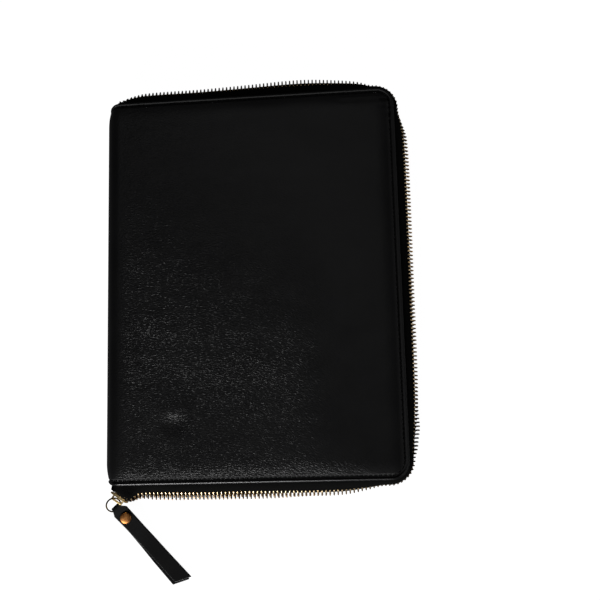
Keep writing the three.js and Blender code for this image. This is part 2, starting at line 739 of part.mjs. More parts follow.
// Rivet turned about its own axis: domed cap above the upper ply, shank, flat cap below the lower ply.
function rivetGeometry() {
  const top = strap.ply + rivet.stand;
  const profile = rivetBack.map((r) => [r.share * rivet.backRadius, -top - r.high * rivet.backHigh]);
  profile.push([rivet.shank, -top], [rivet.shank, top]);
  for (const r of rivetCap) profile.push([r.share * rivet.capRadius, top + r.high * rivet.capHigh]);
  const turned = new THREE.LatheGeometry(profile.map(([r, y]) => new THREE.Vector2(r, y)), rivet.around);
  const solid = fromManifold(toManifold(turned));
  return strapPlace(solid.rotateZ(strapTilt()).translate(strap.rivetAt, slitHigh(strap.rivetAt), 0));
}

const finishes = {
  leather: { color: 0x16161a, roughness: 0.62, metalness: 0 },
  tape: { color: 0x121216, roughness: 0.9, metalness: 0 },
  brass: { color: 0xb4935a, roughness: 0.32, metalness: 1 },
  copper: { color: 0x8a5a30, roughness: 0.34, metalness: 1 },
};

const group = new THREE.Group();
group.name = "zippered_tablet_sleeve";

function addPiece(name, geometry, finish) {
  const mesh = new THREE.Mesh(geometry, new THREE.MeshStandardMaterial(finishes[finish]));
  mesh.name = name;
  group.add(mesh);
}

const frontStations = tapeStations(1, frontLie);
const backStations = tapeStations(-1, backLie);

addPiece("shell", shellGeometry(), "leather");
addPiece("zip_tape_front", tapeGeometry(1, frontStations), "tape");
addPiece("zip_tape_back", tapeGeometry(-1, backStations), "tape");
addPiece("zip_teeth_front", teethGeometry(frontStations), "brass");
addPiece("zip_teeth_back", teethGeometry(backStations), "brass");
addPiece("zip_slider", sliderPlaced(), "brass");
addPiece("pull_ring", ringGeometry(), "brass");
addPiece("pull_strap", strapGeometry(), "leather");
addPiece("pull_rivet", rivetGeometry(), "copper");

export default group;
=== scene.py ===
import bpy
import math
import numpy as np
from mathutils import Matrix, Vector, noise


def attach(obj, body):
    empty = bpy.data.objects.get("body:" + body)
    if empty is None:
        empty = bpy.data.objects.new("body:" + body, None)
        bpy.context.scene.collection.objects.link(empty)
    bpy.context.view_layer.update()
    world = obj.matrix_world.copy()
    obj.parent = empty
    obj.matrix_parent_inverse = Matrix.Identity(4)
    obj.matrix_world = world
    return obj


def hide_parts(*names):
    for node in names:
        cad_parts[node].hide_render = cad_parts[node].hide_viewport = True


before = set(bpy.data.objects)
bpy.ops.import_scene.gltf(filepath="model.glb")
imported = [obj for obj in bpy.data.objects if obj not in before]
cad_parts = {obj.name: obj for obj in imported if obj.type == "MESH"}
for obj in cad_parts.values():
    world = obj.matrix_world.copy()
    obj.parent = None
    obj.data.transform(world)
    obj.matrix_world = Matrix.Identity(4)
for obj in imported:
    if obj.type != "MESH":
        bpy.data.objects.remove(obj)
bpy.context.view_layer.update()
mm = 0.001
overhead = Vector((0, 0, 1))
print("frame loaded,", len(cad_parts), "nodes")

# camera, as the sleeve was photographed from above
view = {
    "place": (54.68, -144.97, 708.58),
    "right": (0.99877, -0.02697, -0.04163),
    "up": (0.03433, 0.98162, 0.18771),
    "lens": 64.8,
    "sensor": 36,
}


def addCamera():
    right = Vector(view["right"]).normalized()
    back = right.cross(Vector(view["up"])).normalized()
    turn = Matrix((right, back.cross(right), back)).transposed()
    bpy.ops.object.camera_add(location=Vector(view["place"]) * mm, rotation=turn.to_euler())
    camera = bpy.context.object
    camera.data.lens = view["lens"]
    camera.data.sensor_width = view["sensor"]
    bpy.context.scene.camera = camera


addCamera()
print("camera placed")


# small hand moves

def deselect():
    if bpy.context.mode != "OBJECT":
        bpy.ops.object.mode_set(mode="OBJECT")
    bpy.ops.object.select_all(action="DESELECT")


def workOn(piece):
    deselect()
    piece.select_set(True)
    bpy.context.view_layer.objects.active = piece


def editAll(piece):  # edit mode with everything selected
    workOn(piece)
    bpy.ops.object.mode_set(mode="EDIT")
    bpy.ops.mesh.select_all(action="SELECT")


def named(name):  # names the primitive that was just added
    piece = bpy.context.object
    piece.name = piece.data.name = name
    return piece


def pointsOf(piece):
    flat = np.empty(3 * len(piece.data.vertices))
    piece.data.vertices.foreach_get("co", flat)
    return flat.reshape(-1, 3)


def setPoints(piece, points):
    piece.data.vertices.foreach_set("co", np.asarray(points, dtype=float).ravel())
    piece.data.update()


def applied(piece, kind, **settings):
    workOn(piece)
    modifier = piece.modifiers.new(kind.lower(), kind)
    for key, value in settings.items():
        setattr(modifier, key, value)
    bpy.ops.object.modifier_apply(modifier=modifier.name)


def bevelled(piece, width, angle, **settings):
    applied(
        piece, "BEVEL", width=width * mm, segments=2, limit_method="ANGLE",
        angle_limit=math.radians(angle), **settings)


def smoothed(piece, angle):
    workOn(piece)
    bpy.ops.object.shade_smooth_by_angle(angle=math.radians(angle))


def editNone(piece, kind):  # nothing selected, ready for picks of one kind
    workOn(piece)
    bpy.ops.object.mode_set(mode="EDIT")
    bpy.ops.mesh.select_mode(type=kind)
    bpy.ops.mesh.select_all(action="DESELECT")
    bpy.ops.object.mode_set(mode="OBJECT")


def pickFaces(piece, wanted):  # edit mode with the wanted faces selected, by centre and normal
    editNone(piece, "FACE")
    for face in piece.data.polygons:
        face.select = bool(wanted(face.center, face.normal))
    bpy.ops.object.mode_set(mode="EDIT")


def pickEdges(piece, wanted):  # the same for edges, by their two ends
    editNone(piece, "EDGE")
    corners = piece.data.vertices
    for edge in piece.data.edges:
        first, second = edge.vertices
        edge.select = bool(wanted(corners[first].co, corners[second].co))
    bpy.ops.object.mode_set(mode="EDIT")


def normalsOut(piece):
    editAll(piece)
    bpy.ops.mesh.remove_doubles(threshold=1e-7)
    bpy.ops.mesh.normals_make_consistent(inside=False)
    bpy.ops.object.mode_set(mode="OBJECT")


def gridPiece(name, points):  # a grid primitive laid over rows and columns of points in mm
    rows, columns = points.shape[:2]
    deselect()
    bpy.ops.mesh.primitive_grid_add(x_subdivisions=columns - 1, y_subdivisions=rows - 1, size=2)
    piece = named(name)
    flat = (pointsOf(piece) + 1) / 2
    column = np.rint(flat[:, 0] * (columns - 1)).astype(int)
    row = np.rint(flat[:, 1] * (rows - 1)).astype(int)
    setPoints(piece, points[row, column] * mm)
    return piece, row, column


def layUv(piece, alongAcross):  # one UV pair for each vertex
    corner = np.empty(len(piece.data.loops), dtype=np.int32)
    piece.data.loops.foreach_get("vertex_index", corner)
    layer = piece.data.uv_layers.active or piece.data.uv_layers.new(name="cloth")
    layer.data.foreach_set("uv", np.asarray(alongAcross, dtype=np.float32)[corner].ravel())


def runLengths(line):  # how far along the line each of its points lies
    return np.concatenate([[0], np.cumsum(np.linalg.norm(np.diff(line, axis=0), axis=1))])


def sampled(values, lengths, at):
    return np.stack([np.interp(at, lengths, column) for column in values.T], -1)


def scattered(name, unit, places):  # joins a copy of the unit at each 4x4 place, then drops the unit
    points = pointsOf(unit)
    faces = [tuple(face.vertices) for face in unit.data.polygons]
    slots = [face.material_index for face in unit.data.polygons]
    count = len(points)
    allPoints, allFaces = [], []
    for number, place in enumerate(places):
        turn = np.array(place)
        allPoints.append(points @ turn[:3, :3].T + turn[:3, 3])
        allFaces.extend(tuple(v + number * count for v in face) for face in faces)
    mesh = bpy.data.meshes.new(name)
    mesh.from_pydata(np.concatenate(allPoints).tolist(), [], allFaces)
    mesh.polygons.foreach_set("material_index", slots * len(places))
    mesh.update()
    piece = bpy.data.objects.new(name, mesh)
    bpy.context.collection.objects.link(piece)
    bpy.data.objects.remove(unit)
    return piece


def settle(piece, slot, node, *finishes):
    for finish in finishes:
        piece.data.materials.append(finish.material)
    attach(piece, "root")
    if node:
        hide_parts(node)
    print(piece.name, "done,", len(piece.data.polygons), "faces")


# shader maths: a Value wraps a socket, a Finish is a material in the making

class Value:
    def __init__(self, finish, socket):
        self.finish, self.socket = finish, socket

    def maths(self, operation, *terms):
        return self.finish.node("ShaderNodeMath", {"operation": operation}, dict(enumerate(terms)))

    def __add__(self, other):
        return self.maths("ADD", self, other)

    def __radd__(self, other):
        return self.maths("ADD", other, self)

    def __sub__(self, other):
        return self.maths("SUBTRACT", self, other)

    def __rsub__(self, other):
        return self.maths("SUBTRACT", other, self)

    def __mul__(self, other):
        return self.maths("MULTIPLY", self, other)

    def most(self, other):
        return self.maths("MAXIMUM", self, other)

    def sine(self):
        return self.maths("SINE", self)

    def between(self, low, high):  # 0 at low, 1 at high, eased
        return self.finish.node(
            "ShaderNodeMapRange", {"interpolation_type": "SMOOTHSTEP"}, {"Value": self, 1: low, 2: high})


class Finish:
    def __init__(self, name):
        self.material = bpy.data.materials.new(name)
        self.material.use_nodes = True
        self.tree = self.material.node_tree
        self.shader = self.tree.nodes["Principled BSDF"]

    def feed(self, sockets, values):
        for key, value in values.items():
            if isinstance(value, Value):
                self.tree.links.new(value.socket, sockets[key])
            else:
                sockets[key].default_value = value

    def node(self, kind, settings=None, values=None, out=0):
        made = self.tree.nodes.new(kind)
        for key, value in (settings or {}).items():
            setattr(made, key, value)
        self.feed(made.inputs, values or {})
        return Value(self, made.outputs[out])

    def surface(self, **values):
        self.feed(self.shader.inputs, {key.replace("_", " "): value for key, value in values.items()})

    def place(self):
        return self.node("ShaderNodeTexCoord", out="Object")

    def uv(self):
        return self.node("ShaderNodeTexCoord", out="UV")

    def axes(self, vector):
        split = self.node("ShaderNodeSeparateXYZ", values={"Vector": vector}).socket.node
        return [Value(self, socket) for socket in split.outputs]

    def drawnOut(self, vector, times):  # the pattern stretched along each axis
        return self.node("ShaderNodeMapping", {"vector_type": "TEXTURE"}, {"Vector": vector, "Scale": times})

    def cloud(self, vector, scale, detail=2, roughness=0.5, out=0):
        values = {"Vector": vector, "Scale": scale, "Detail": detail, "Roughness": roughness}
        return self.node("ShaderNodeTexNoise", values=values, out=out)

    def pebbles(self, vector, scale, wall):  # 0 in the valleys between cells, 1 on top
        values = {"Vector": vector, "Scale": scale}
        cells = self.node("ShaderNodeTexVoronoi", {"feature": "DISTANCE_TO_EDGE"}, values)
        return cells.between(0, wall)

    def shifted(self, vector, scale, amount):  # vector pushed about by noise
        drift = self.cloud(vector, scale, out="Color")
        values = {0: drift, 1: (amount,) * 3, 2: vector}
        return self.node("ShaderNodeVectorMath", {"operation": "MULTIPLY_ADD"}, values)

    def mixed(self, share, first, second):  # each colour a triple or a Value
        values = {0: share}
        for socket, colour in ((6, first), (7, second)):
            values[socket] = colour if isinstance(colour, Value) else (*colour, 1)
        return self.node("ShaderNodeMix", {"data_type": "RGBA"}, values, out=2)

    def bumped(self, height, strength, distance):
        values = {"Height": height, "Strength": strength, "Distance": distance}
        return self.node("ShaderNodeBump", values=values)


# leather of the covers: short fine creases along X that swing down towards the open side and fade out there
grain = {
    "creaseScale": 1260,
    "creaseDetail": 0.4,
    "creaseHigh": 1.15,
    "pebbleScale": 920,
    "pebbleWall": 0.22,
    "pebbleHigh": 0.35,
    "depth": 0.00031,
    "stretch": (2.2, 1, 1),
    "swingFrom": -0.04,
    "swing": 3,
    "drift": (26, 0.005),
    "wander": (420, 0.0006),
    "fadeWay": (-3.2, -3.4),
    "fade": (-0.5, 0.3),
    "spineFade": (-0.094, -0.082),
    "openFade": (0.075, 0.02),
    "bandFade": (-0.111, -0.12),
    "bandOpenFade": (0.1, 0.03),
    "calmFade": (-0.05, -0.105),
    "calm": 0.42,
    "calmLessInBand": 0.2,
    "least": 0.06,
    "edgeSlope": 0.00825,
    "edgeAt": 0.12891,
    "rimFade": (-0.0021, -0.0017),
    "rimFlat": 0.9,
    "rimPolish": 0.12,
    "lipFrom": (-0.0045, -0.004),
    "lipTo": (-0.0034, -0.003),
    "lipDull": 0.25,
    "headFade": (-0.0055, -0.003),
    "sideFade": (0.0895, 0.0925),
    "plainDull": 0.3,
    "toneScale": 34,
    "dark": (0.0022, 0.0022, 0.0024),
    "light": (0.0036, 0.0036, 0.0038),
    "rough": 0.39,
    "roughTone": 0.06,
}


def grainShare(x, y):  # how strongly the grain stands, less towards head, spine and open side
    alongX, alongY = grain["fadeWay"]
    footBand = y.between(*grain["bandFade"]) * x.between(*grain["bandOpenFade"])
    far = x.between(*grain["openFade"]).most(footBand)
    calm = 1 - y.between(*grain["calmFade"]) * (grain["calm"] - footBand * grain["calmLessInBand"])
    share = (x * alongX + y * alongY).between(*grain["fade"])
    return share * x.between(*grain["spineFade"]) * far * calm


def coverLeather():
    finish = Finish("coverLeather")
    place = finish.place()
    x, y, z = finish.axes(place)
    right = (x - grain["swingFrom"]).most(0)
    swung = finish.node(
        "ShaderNodeCombineXYZ", values={"X": x, "Y": y + right * right * grain["swing"], "Z": z})
    drifted = finish.shifted(finish.shifted(swung, *grain["drift"]), *grain["wander"])
    drawn = finish.drawnOut(drifted, grain["stretch"])
    crease = finish.cloud(drawn, grain["creaseScale"], grain["creaseDetail"], grain["creaseDetail"])
    pebble = finish.pebbles(drawn, grain["pebbleScale"], grain["pebbleWall"])
    past = 0 - y - x * grain["edgeSlope"] - grain["edgeAt"]  # from the foot edge, negative on the cover
    rim = past.between(*grain["rimFade"])  # rubbed smooth
    lip = past.between(*grain["lipFrom"]) * (1 - past.between(*grain["lipTo"]))  # duller by the stitches
    headPast = y - x * grain["edgeSlope"] - grain["edgeAt"]
    sidePlain = x.between(*grain["sideFade"])
    plain = headPast.between(*grain["headFade"]).most(sidePlain)  # matt rim at the head and the open side
    height = crease * grain["creaseHigh"] + pebble * grain["pebbleHigh"]
    share = grainShare(x, y) * (1 - grain["least"]) + grain["least"]
    height = height * share * (1 - rim * grain["rimFlat"])
    tone = finish.cloud(place, grain["toneScale"], 3)
    rough = grain["rough"] + tone * grain["roughTone"] - rim * grain["rimPolish"]
    finish.surface(
        Base_Color=finish.mixed(tone.between(0.3, 0.7), grain["dark"], grain["light"]),
        Roughness=rough + lip * grain["lipDull"] + plain * grain["plainDull"],
        Normal=finish.bumped(height, 1, grain["depth"]),
        Specular_IOR_Level=0.32,
    )
    return finish


# plain cloth inside the covers
liningLook = {
    "threads": 5200,
    "dark": (0.006, 0.006, 0.0065),
    "light": (0.01, 0.01, 0.0105),
}


def lining():
    finish = Finish("lining")
    place = finish.place()
    x, y = finish.axes(place)[:2]
    weave = (x * liningLook["threads"]).sine() * (y * liningLook["threads"]).sine()
    finish.surface(
        Base_Color=finish.mixed(finish.cloud(place, 60, 3), liningLook["dark"], liningLook["light"]),
        Roughness=0.86 + weave * 0.05,
        Normal=finish.bumped(weave, 0.3, 0.0001),
        Specular_IOR_Level=0.25,
    )
    return finish


threadLook = {
    "twist": 9000,
    "dark": (0.0012, 0.0012, 0.0012),
    "light": (0.003, 0.003, 0.003),
}


def threadFinish():
    finish = Finish("hemThread")
    x, y = finish.axes(finish.place())[:2]
    twist = (x * threadLook["twist"] + y * threadLook["twist"]).sine()
    finish.surface(
        Base_Color=finish.mixed(twist * 0.5 + 0.5, threadLook["dark"], threadLook["light"]),
        Roughness=0.7 + twist * 0.08,
        Specular_IOR_Level=0.1,
    )
    return finish


# ribbed twill, with UV in mm along and across the tape
tapeLook = {
    "rib": 11.4,
    "twill": (7.8, 5.7),
    "dark": (0.0016, 0.0016, 0.0015),
    "light": (0.0036, 0.0036, 0.0034),
}


def tapeFinish():
    finish = Finish("zipTape")
    along, across = finish.axes(finish.uv())[:2]
    twillAlong, twillAcross = tapeLook["twill"]
    rib = (across * tapeLook["rib"]).sine()
    twill = (along * twillAlong + across * twillAcross).sine()
    weave = rib * 0.5 + twill * 0.5
    worn = finish.cloud(finish.place(), 120, 3)
    finish.surface(
        Base_Color=finish.mixed(weave * 0.3 + worn * 0.6, tapeLook["dark"], tapeLook["light"]),
        Roughness=0.82 + weave * 0.06,
        Normal=finish.bumped(weave, 0.6, 0.00012),
        Specular_IOR_Level=0.06,
    )
    return finish


# metals: the front teeth darken towards the head between these two y, painted shade where the head teeth lie
# in shadow
metals = {
    # front teeth: the legs take a paler brass as a painted highlight where they catch the light, the heads a
    # darker brass as painted shade
    "legBrassPaintedHighlight": {
        "bright": (0.9, 0.72, 0.48), "deep": (0.57, 0.42, 0.23), "rough": 0.28, "headShadeSpan": (0.1, 0.125)},
    "headBrassPaintedShade": {
        "bright": (0.5, 0.32, 0.15), "deep": (0.24, 0.145, 0.06), "rough": 0.3, "headShadeSpan": (0.1, 0.125)},
    # back teeth: the same brass darkened as painted shade, where the front tape shadows them
    "backBrassPaintedShade": {"bright": (0.2, 0.125, 0.06), "deep": (0.08, 0.05, 0.024), "rough": 0.3},
    "sliderBrass": {"bright": (1, 0.8, 0.44), "deep": (0.72, 0.52, 0.22), "rough": 0.36},
    "ringBrass": {"bright": (0.07, 0.05, 0.02), "deep": (0.03, 0.021, 0.008), "rough": 0.3},
    "copper": {"bright": (0.6, 0.27, 0.085), "deep": (0.35, 0.14, 0.042), "rough": 0.42},
}
metalWearAndShade = {"scale": 420, "range": (0.35, 0.68), "rough": 0.14, "headShadeShare": 0.4}
metalBrush = {"stretch": (6, 1, 1), "scale": 5400, "strength": 0.12, "depth": 0.00008}


def metalFinish(name, bright, deep, rough, headShadeSpan=None):
    finish = Finish(name)
    place = finish.place()
    worn = finish.cloud(place, metalWearAndShade["scale"], 4, 0.6)
    colour = finish.mixed(worn.between(*metalWearAndShade["range"]), deep, bright)
    # painted shade: towards the head the front teeth's colour falls to a dark share of their deep brass,
    # where they lie in shadow
    if headShadeSpan:
        headShadeMask = finish.axes(place)[1].between(*headShadeSpan)
        colour = finish.mixed(headShadeMask, colour, [channel * metalWearAndShade["headShadeShare"] for channel in deep])
    brushed = finish.cloud(finish.drawnOut(place, metalBrush["stretch"]), metalBrush["scale"], 3)
    finish.surface(
        Base_Color=colour,
        Metallic=1.0,
        Roughness=rough + worn * metalWearAndShade["rough"],
        Normal=finish.bumped(brushed, metalBrush["strength"], metalBrush["depth"]),
    )
    return finish


# the pull's smoother leather
strapLook = {
    "wander": (500, 0.0006),
    "pebbleScale": 1500,
    "pebbleWall": 0.3,
    "dark": (0.0018, 0.0018, 0.0019),
    "light": (0.003, 0.003, 0.0031),
}


def strapFinish():
    finish = Finish("strapLeather")
    place = finish.place()
    drawn = finish.shifted(place, *strapLook["wander"])
    pebble = finish.pebbles(drawn, strapLook["pebbleScale"], strapLook["pebbleWall"])
    tone = finish.cloud(place, 90, 3)
    finish.surface(
        Base_Color=finish.mixed(tone, strapLook["dark"], strapLook["light"]),
        Roughness=0.55 + tone * 0.1,
        Normal=finish.bumped(pebble * 0.6 + finish.cloud(place, 700, 3), 0.25, 0.0001),
        Specular_IOR_Level=0.14,
    )
    return finish


def edgeFinish():  # burnished cut edges
    finish = Finish("edgePaint")
    worn = finish.cloud(finish.place(), 260, 3)
    finish.surface(
        Base_Color=finish.mixed(worn, (0.01, 0.01, 0.01), (0.02, 0.02, 0.02)),
        Roughness=0.34 + worn * 0.1,
        Specular_IOR_Level=0.5,
    )
    return finish


leather = coverLeather()
liningCloth = lining()
thread = threadFinish()
cloth = tapeFinish()
metal = {name: metalFinish(name, **look) for name, look in metals.items()}
strapLeather = strapFinish()
edgePaint = edgeFinish()
print("finishes made")


# leather cover: one blank from the front's open edge round the spine to the back's open edge
cover = {
    "spineX": -98.2,
    "openX": 95.7,
    "spineHalf": 128.1,
    "openHalf": 129.7,
    "spineThick": 20,
    "openThick": 26,
    "wall": 3,
    "corner": 12,
    "crown": 0.8,
    "spineRecess": 2.6,
    "hem": [  # inset from the turned edge, depth under the flat face
        (0, 2), (0.3, 1.55), (1, 1.1), (1.3, 1.06), (1.6, 1.5), (1.9, 1.95), (2.4, 2.05), (3, 2.05),
        (3.3, 1.9), (3.65, 1.12), (4.1, 0.98), (5, 0.8), (6.5, 0.52), (8, 0.3), (10, 0.1), (12, 0)],
    "hemSoft": 0.14,
    "hemSteps": (
        0, 0.15, 0.35, 0.6, 0.9, 1.25, 1.6, 1.9, 2.15, 2.4, 2.6, 2.8, 3.05, 3.4, 3.8, 4.3, 4.9, 5.7, 6.7,
        8, 9.8),
    "frontSteps": 74,
    "spineSteps": 26,
    "backSteps": 34,
    "rowSteps": 98,
    "reliefFrom": (2.6, 16),
    "reliefSpine": (-2, 14),
}
# noise over the front: steps along x and y, and a seed
wave = {"high": 0.3, "broad": (0.022, 0.052, 3.1), "fine": (0.05, 0.11, 8.7), "fineShare": 0.5}
# a pressed dent with a low bank on its head side
dent = {
    "x": -53.8, "y": -90.4, "size": 6.4, "deep": 1.8,
    "bank": 0.35, "bankAway": 8, "bankSpreadX": 90, "bankSpreadY": 12,
}
softCrease = {"start": (-6, -8), "end": (40, 35), "wide": 7, "deep": 0.28, "fadeIn": 10, "fadeOut": 18}
# puckers beside the stitches at the head end of the open side
pucker = {
    "high": 0.5, "turns": 1.18, "sway": 0.5, "swayTurns": 0.31, "fromX": 60,
    "rise": (88, 104), "fall": (118, 126), "insetRise": (2.6, 4), "insetFall": (5, 12),
}
spineRadius = cover["spineThick"] / 2
spineMid = cover["spineX"] + spineRadius
frontSlope = (cover["openThick"] - cover["spineThick"]) / (cover["openX"] - spineMid)
inland = 1e3  # inset of everything past the hem


def halfHeight(x):
    return np.interp(x, (cover["spineX"], cover["openX"]), (cover["spineHalf"], cover["openHalf"]))


def frontHeight(x):
    return cover["spineThick"] + (x - spineMid) * frontSlope


def eased(value, low, high):
    t = np.clip((value - low) / (high - low), 0, 1)
    return t * t * (3 - 2 * t)


def hemSink(inset):  # how far the padded face lies under the flat, smoothed across the stitch groove
    step, margin, widest = 0.02, 2, cover["hem"][-1][0]
    at = np.arange(-margin, widest + margin, step)
    hemInset, hemDeep = zip(*cover["hem"])
    raw = np.interp(at, hemInset, hemDeep)
    reach = np.arange(-3 * cover["hemSoft"], 3 * cover["hemSoft"] + 0.01, step)
    weight = np.exp(-0.5 * (reach / cover["hemSoft"]) ** 2)
    soft = np.convolve(raw, weight / weight.sum(), "same")
    ends = round(margin / step)
    return np.interp(np.minimum(inset, widest), at[ends:-ends], soft[ends:-ends])


def waveAt(x, y):
    broadX, broadY, broadSeed = wave["broad"]
    fineX, fineY, fineSeed = wave["fine"]
    broad = noise.noise(Vector((x * broadX, y * broadY, broadSeed)))
    fine = noise.noise(Vector((x * fineX, y * fineY, fineSeed)))
    return broad + wave["fineShare"] * fine


def dentLift(x, y):
    dx, dy = x - dent["x"], y - dent["y"]
    hollow = np.exp(-(dx**2 + dy**2) / dent["size"] ** 2)
    bank = np.exp(-(dx**2 / dent["bankSpreadX"] + (dy - dent["bankAway"]) ** 2 / dent["bankSpreadY"]))
    return dent["deep"] * (dent["bank"] * bank - hollow)


def creaseLift(x, y):
    (startX, startY), (endX, endY) = softCrease["start"], softCrease["end"]
    long = math.hypot(endX - startX, endY - startY)
    wayX, wayY = (endX - startX) / long, (endY - startY) / long
    along = (x - startX) * wayX + (y - startY) * wayY
    across = (y - startY) * wayX - (x - startX) * wayY
    fadeIn, fadeOut = softCrease["fadeIn"], softCrease["fadeOut"]
    ends = eased(along, -fadeOut, fadeIn) * (1 - eased(along, long - fadeIn, long + fadeOut))
    return -softCrease["deep"] * ends * np.exp(-(across / softCrease["wide"]) ** 2)


def puckerLift(x, y, inset):
    fold = np.sin(y * pucker["turns"] + pucker["sway"] * np.sin(y * pucker["swayTurns"]))
    fold = fold * eased(y, *pucker["rise"]) * (1 - eased(y, *pucker["fall"])) * (x > pucker["fromX"])
    strip = eased(inset, *pucker["insetRise"]) * (1 - eased(inset, *pucker["insetFall"]))
    return pucker["high"] * fold * strip


def frontRelief(x, y, inset):
    waves = np.array([waveAt(a, b) for a, b in zip(x.ravel(), y.ravel())]).reshape(x.shape)
    lift = wave["high"] * waves + dentLift(x, y) + creaseLift(x, y)
    return lift * eased(inset, *cover["reliefFrom"]) + puckerLift(x, y, inset)


def coverColumns():  # from the front's open edge round the spine to the back's
    hem = np.array(cover["hemSteps"])
    panelEnd = cover["openX"] - cover["corner"]
    frontX = np.linspace(panelEnd, spineMid, cover["frontSteps"])[:-1]
    backX = np.linspace(spineMid, panelEnd, cover["backSteps"])[1:]
    arc = np.linspace(0.5 * math.pi, 1.5 * math.pi, cover["spineSteps"])
    frontCount, backCount = len(hem) + len(frontX), len(hem) + len(backX)
    spineX = spineMid + spineRadius * np.cos(arc)
    x = np.concatenate([cover["openX"] - hem, frontX, spineX, backX, cover["openX"] - hem[::-1]])
    inset = np.concatenate([hem, np.full(len(frontX) + len(arc) + len(backX), inland), hem[::-1]])
    side = np.concatenate([np.ones(frontCount), np.zeros(len(arc)), -np.ones(backCount)])
    frontTurn = 0.5 * math.pi + math.atan(frontSlope)
    turn = np.concatenate([np.full(frontCount, frontTurn), arc, np.full(backCount, 1.5 * math.pi)])
    recess = np.zeros(len(x))
    recess[side == 0] = cover["spineRecess"] * (1 - np.abs(np.sin(arc))) ** 1.5
    z = np.where(side == 1, frontHeight(x), 0)
    z[side == 0] = spineRadius + spineRadius * np.sin(arc)
    return x, z, inset, side, turn, recess


def coverRows():  # from foot to head
    hem = np.array(cover["hemSteps"])
    share = np.linspace(-1, 1, cover["rowSteps"])
    inset = np.concatenate([hem, np.full(len(share), inland), hem[::-1]])
    side = np.concatenate([-np.ones(len(hem)), np.sign(share), np.ones(len(hem))])
    share = np.concatenate([np.zeros(len(hem)), np.abs(share), np.zeros(len(hem))])
    return inset, side, share


def coverGrid():
    colX, colZ, colInset, side, turn, recess = coverColumns()
    rowInset, rowSide, rowShare = coverRows()
    half = (halfHeight(colX) - recess)[:, None]
    inPanel = (rowInset == inland)[None, :]
    inHem = half - np.where(inPanel, 0, rowInset)
    y = rowSide * np.where(inPanel, rowShare * (half - cover["corner"]), inHem)
    x = np.repeat(colX[:, None], len(rowInset), 1)
    a = cover["corner"] - np.repeat(colInset[:, None], len(rowInset), 1)
    b = cover["corner"] - np.repeat(rowInset[None, :], len(colX), 0)
    corner = (a > 0) & (b > 0)  # the two open corners are rounded in rings of equal inset
    ring = np.maximum(a, b)
    with np.errstate(divide="ignore", invalid="ignore"):
        angle = np.where(a >= b, 0.25 * math.pi * b / a, 0.5 * math.pi - 0.25 * math.pi * a / b)
    x = np.where(corner, cover["openX"] - cover["corner"] + ring * np.cos(angle), x)
    y = np.where(corner, rowSide * (cover["openHalf"] - cover["corner"] + ring * np.sin(angle)), y)
    z = np.where(side[:, None] == 1, frontHeight(x), colZ[:, None])
    inset = np.minimum(colInset[:, None], rowInset[None, :])
    edge = np.minimum(inset, np.minimum(cover["openX"] - x, halfHeight(x) - np.abs(y)))
    u = np.clip((x - spineMid) / (cover["openX"] - spineMid), 0, 1)
    crown = cover["crown"] * 4 * u * (1 - u) * (1 - (y / halfHeight(x)) ** 2)
    spineFade = eased(x - spineMid, *cover["reliefSpine"])
    front = (crown + frontRelief(x, y, edge) * spineFade) * (side[:, None] == 1)
    lift = front - hemSink(inset)
    normal = np.stack([np.cos(turn), np.zeros(len(turn)), np.sin(turn)], 1)[:, None, :]
    base = np.stack([x, y, z], 2)
    return base + normal * lift[:, :, None], base - normal * cover["wall"]


def makeCover(outer, inner):
    piece, row, column = gridPiece("cover", outer)
    count = len(row)
    piece.data.materials.append(leather.material)
    piece.data.materials.append(liningCloth.material)
    editAll(piece)
    bpy.ops.mesh.normals_make_consistent(inside=False)
    bpy.ops.object.mode_set(mode="OBJECT")
    faceUp = sum(f.normal.z for f in piece.data.polygons if f.center.z > spineRadius * 1.5 * mm)
    if faceUp < 0:
        bpy.ops.object.mode_set(mode="EDIT")
        bpy.ops.mesh.flip_normals()
        bpy.ops.object.mode_set(mode="OBJECT")
    wall = cover["wall"] * mm
    applied(piece, "SOLIDIFY", thickness=wall, offset=-1, material_offset=1, material_offset_rim=0)
    points = pointsOf(piece)
    points[count:2 * count] = inner[row, column] * mm  # the inside is flat, whatever the padding does
    setPoints(piece, points)
    smoothed(piece, 50)
    settle(piece, "leather", "shell")


outer, inner = coverGrid()
makeCover(outer, inner)


# hem stitches: one closed row on the groove's inner wall, round both covers and across the spine ends
stitch = {
    "hemStep": 3.4,
    "pitch": 3.0,
    "long": 2.3,
    "thick": 0.9,
    "flat": 0.8,
    "turn": 6,
    "proud": 0.1,
    "look": 0.6,
}


def ringOf(grid, inset):  # the closed line of grid points that lies some steps in from the edge
    last = grid.shape[0] - 1 - inset
    top = grid.shape[1] - 1 - inset
    spineward = [grid[inset, inset:top], grid[inset:last, top]]
    openward = [grid[last, top:inset:-1], grid[last:inset:-1, inset]]
    return np.concatenate([*spineward, *openward, grid[inset, inset:inset + 1]])


def stitchUnit():
    deselect()
    radius = stitch["thick"] / 2 * mm
    bpy.ops.mesh.primitive_uv_sphere_add(
        segments=8, ring_count=5, radius=radius, rotation=(0, math.pi / 2, 0))
    unit = named("stitch")
    bpy.ops.object.transform_apply(location=True, rotation=True, scale=True)
    points = pointsOf(unit)
    points[:, 0] += np.sign(np.round(points[:, 0], 7)) * (stitch["long"] - stitch["thick"]) / 2 * mm
    points[:, 2] *= stitch["flat"]
    setPoints(unit, points)
    return unit


